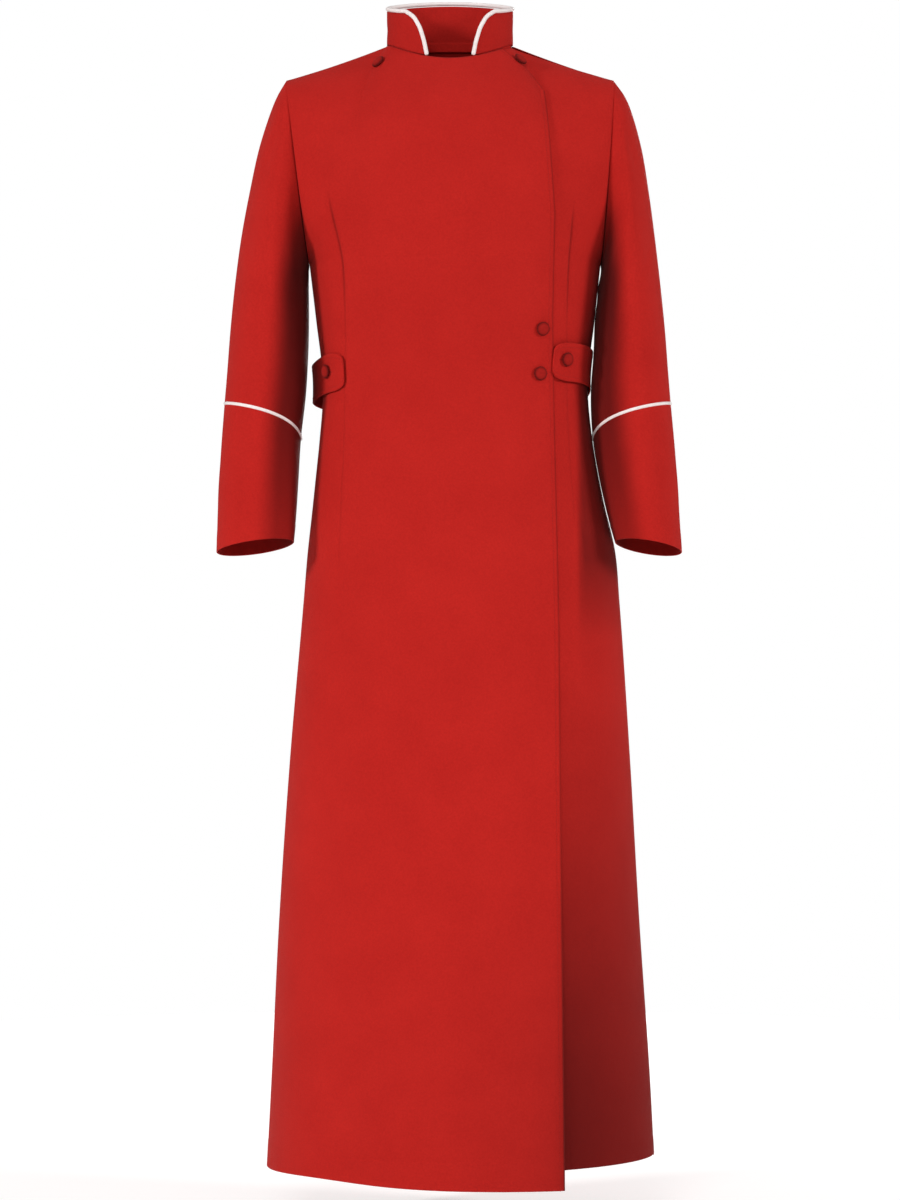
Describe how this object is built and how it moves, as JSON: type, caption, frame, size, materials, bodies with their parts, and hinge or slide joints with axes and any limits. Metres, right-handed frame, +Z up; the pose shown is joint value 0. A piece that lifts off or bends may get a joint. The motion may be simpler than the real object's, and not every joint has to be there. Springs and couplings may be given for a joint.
{
  "type": "cassock",
  "caption": "Long hollow cassock with a crossed front, stand collar, piped collar and cuffs, short wide sleeves, open-fronted belt and covered buttons.",
  "frame": {"origin": "middle of the neck opening, level with the neck ends of the shoulder seams", "axes": "+Z up towards the collar, +Y towards the wearer's back, +X towards the wearer's left"},
  "size_m": [0.598, 0.4136, 1.5226],
  "materials": {
    "front_overlap": "matt woven cloth",
    "front_underlap": "matt woven cloth",
    "back": "matt woven cloth",
    "sleeve_right": "matt woven cloth",
    "sleeve_left": "matt woven cloth",
    "cuff_right": "matt woven cloth",
    "cuff_left": "matt woven cloth",
    "collar": "matt woven cloth",
    "collar_piping": "matt cord",
    "cuff_piping_right": "matt cord",
    "cuff_piping_left": "matt cord",
    "belt": "matt woven cloth",
    "button_neck_right": "matt woven cloth",
    "button_neck_left": "matt woven cloth",
    "button_waist_upper": "matt woven cloth",
    "button_waist_lower": "matt woven cloth",
    "button_belt_right": "matt woven cloth",
    "button_belt_left": "matt woven cloth"
  },
  "bodies": {
    "root": {"front_overlap": "front_overlap", "front_underlap": "front_underlap", "back": "back", "sleeve_right": "sleeve_right", "sleeve_left": "sleeve_left", "cuff_right": "cuff_right", "cuff_left": "cuff_left", "collar": "collar", "collar_piping": "collar_piping", "cuff_piping_right": "cuff_piping_right", "cuff_piping_left": "cuff_piping_left", "belt": "belt", "button_neck_right": "button_neck_right", "button_neck_left": "button_neck_left", "button_waist_upper": "button_waist_upper", "button_waist_lower": "button_waist_lower", "button_belt_right": "button_belt_right", "button_belt_left": "button_belt_left"}
  },
  "joints": []
}
